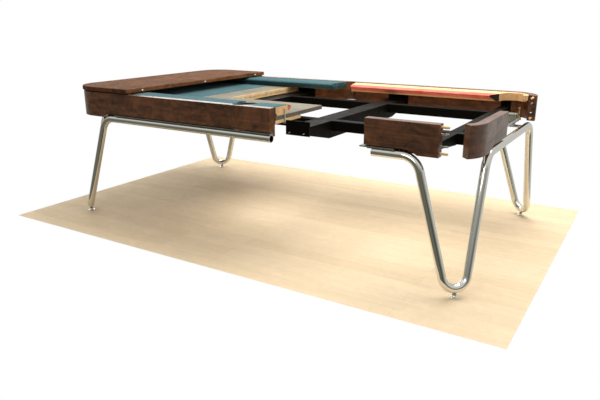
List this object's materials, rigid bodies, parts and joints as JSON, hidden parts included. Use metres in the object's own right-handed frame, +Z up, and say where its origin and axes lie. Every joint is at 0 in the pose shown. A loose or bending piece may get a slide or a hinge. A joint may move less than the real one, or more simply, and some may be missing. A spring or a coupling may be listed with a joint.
{
  "type": "pool table",
  "caption": "Cut-open dining and pool table: dark wooden cabinet on a lifting steel chassis, slate bed with rails, loose leaf, and a chromed tube frame with V legs and screw feet.",
  "frame": {"origin": "on the floor, under the middle of the table", "axes": "+X along the table towards the cut-open end, +Y across it to the uncut side, +Z up"},
  "size_m": [2.3572, 1.3552, 0.75],
  "materials": {
    "chrome_tube": "polished chromium plate",
    "plain_steel": "bright drawn steel",
    "zinc_steel": "zinc plated, satin",
    "brass": "satin brass",
    "black_steel": "black powder coat",
    "walnut": "dark walnut, semi-gloss lacquer",
    "pale_wood": "bare sanded pale wood",
    "slate": "honed grey slate, opaque",
    "cloth": "blue-green billiard cloth",
    "felt": "dark felt",
    "white_plastic": "white nylon",
    "black_rubber": "matt black",
    "red_rubber": "coral red"
  },
  "bodies": {
    "near_left_foot": {"near_left_foot_pad": "chrome_tube"},
    "near_left_stem": {"near_left_foot_stem": "plain_steel"},
    "far_left_foot": {"far_left_foot_pad": "chrome_tube"},
    "far_left_stem": {"far_left_foot_stem": "plain_steel"},
    "near_right_foot": {"near_right_foot_pad": "chrome_tube"},
    "near_right_stem": {"near_right_foot_stem": "plain_steel"},
    "far_right_foot": {"far_right_foot_pad": "chrome_tube"},
    "far_right_stem": {"far_right_foot_stem": "plain_steel"},
    "lift_sleeves": {"left_lift_sleeves": "plain_steel", "right_lift_sleeves": "plain_steel"},
    "left_catch": {"left_catch_levers": "brass", "left_catch_rod": "zinc_steel"},
    "right_catch": {"right_catch_levers": "brass", "right_catch_rod": "zinc_steel"},
    "dining_leaf": {"dining_leaf": "walnut", "leaf_pegs": "white_plastic", "leaf_felt_strips": "felt"},
    "leg_frame": {"far_left_leg": "chrome_tube", "far_right_leg": "chrome_tube", "left_end_tube": "chrome_tube", "near_left_leg": "chrome_tube", "near_right_leg": "chrome_tube", "right_end_tube": "chrome_tube", "far_side_tube": "chrome_tube", "near_side_tubes": "chrome_tube", "mounting_bars": "plain_steel", "left_lift_posts": "plain_steel", "right_lift_posts": "plain_steel"},
    "table_top": {"bed_cloth": "cloth", "bracket_screws": "plain_steel", "cabinet_bolts": "plain_steel", "cabinet_dowels": "pale_wood", "cushion_rubbers": "red_rubber", "far_beam": "black_steel", "far_left_corner": "walnut", "far_left_rail": "pale_wood", "far_panel": "walnut", "far_right_corner": "walnut", "far_right_rail": "pale_wood", "jaw_facings": "black_rubber", "left_crossbeam": "black_steel", "left_end_member": "black_steel", "left_end_panel": "walnut", "left_end_rail": "pale_wood", "left_lift_boxes": "zinc_steel", "near_beam": "black_steel", "near_left_corner": "walnut", "near_left_rail": "pale_wood", "near_panel": "walnut", "near_panel_segment": "walnut", "near_right_corner": "walnut", "near_right_rail": "pale_wood", "pocket_cups": "black_rubber", "rail_bolts": "plain_steel", "right_crossbeam": "black_steel", "right_end_member": "black_steel", "right_end_panel": "walnut", "right_lift_boxes": "zinc_steel", "slate": "slate", "slate_liner": "pale_wood"}
  },
  "joints": [
    {"name": "table_lift", "type": "slide", "parent": "leg_frame", "child": "table_top", "axis": [0, 0, 1], "range_m": [0, 0.06]},
    {"name": "sleeve_lift", "type": "slide", "parent": "leg_frame", "child": "lift_sleeves", "axis": [0, 0, 1], "range_m": [0, 0.03]},
    {"name": "left_catch_tilt", "type": "hinge", "parent": "table_top", "child": "left_catch", "pos_m": [-1.111, 0, 0.612], "axis": [0, -1, 0], "range_deg": [0, 8], "stiffness_Nm_per_rad": 2, "springref_deg": -2.86},
    {"name": "right_catch_tilt", "type": "hinge", "parent": "table_top", "child": "right_catch", "pos_m": [1.111, 0, 0.612], "axis": [0, 1, 0], "range_deg": [0, 8], "stiffness_Nm_per_rad": 2, "springref_deg": -2.86},
    {"name": "leaf_lift_off", "type": "slide", "parent": "table_top", "child": "dining_leaf", "axis": [0, 0, 1], "range_m": [0, 0.3]},
    {"name": "near_left_foot_screw_out", "type": "slide", "parent": "leg_frame", "child": "near_left_foot", "axis": [0, 0, -1], "range_m": [0, 0.012]},
    {"name": "near_left_stem_turn", "type": "hinge", "parent": "near_left_foot", "child": "near_left_stem", "pos_m": [-1.125, -0.63, 0.02], "axis": [0, 0, 1], "range_deg": [0, 2881]},
    {"name": "far_left_foot_screw_out", "type": "slide", "parent": "leg_frame", "child": "far_left_foot", "axis": [0, 0, -1], "range_m": [0, 0.012]},
    {"name": "far_left_stem_turn", "type": "hinge", "parent": "far_left_foot", "child": "far_left_stem", "pos_m": [-1.125, 0.63, 0.02], "axis": [0, 0, 1], "range_deg": [0, 2881]},
    {"name": "near_right_foot_screw_out", "type": "slide", "parent": "leg_frame", "child": "near_right_foot", "axis": [0, 0, -1], "range_m": [0, 0.012]},
    {"name": "near_right_stem_turn", "type": "hinge", "parent": "near_right_foot", "child": "near_right_stem", "pos_m": [1.125, -0.63, 0.02], "axis": [0, 0, 1], "range_deg": [0, 2881]},
    {"name": "far_right_foot_screw_out", "type": "slide", "parent": "leg_frame", "child": "far_right_foot", "axis": [0, 0, -1], "range_m": [0, 0.012]},
    {"name": "far_right_stem_turn", "type": "hinge", "parent": "far_right_foot", "child": "far_right_stem", "pos_m": [1.125, 0.63, 0.02], "axis": [0, 0, 1], "range_deg": [0, 2881]}
  ],
  "couplings": [
    {"joint": "sleeve_lift", "follows": "table_lift", "ratio": 0.5},
    {"joint": "near_left_stem_turn", "follows": "near_left_foot_screw_out", "rad_per_m": 4188.8},
    {"joint": "far_left_stem_turn", "follows": "far_left_foot_screw_out", "rad_per_m": 4188.8},
    {"joint": "near_right_stem_turn", "follows": "near_right_foot_screw_out", "rad_per_m": 4188.8},
    {"joint": "far_right_stem_turn", "follows": "far_right_foot_screw_out", "rad_per_m": 4188.8}
  ]
}
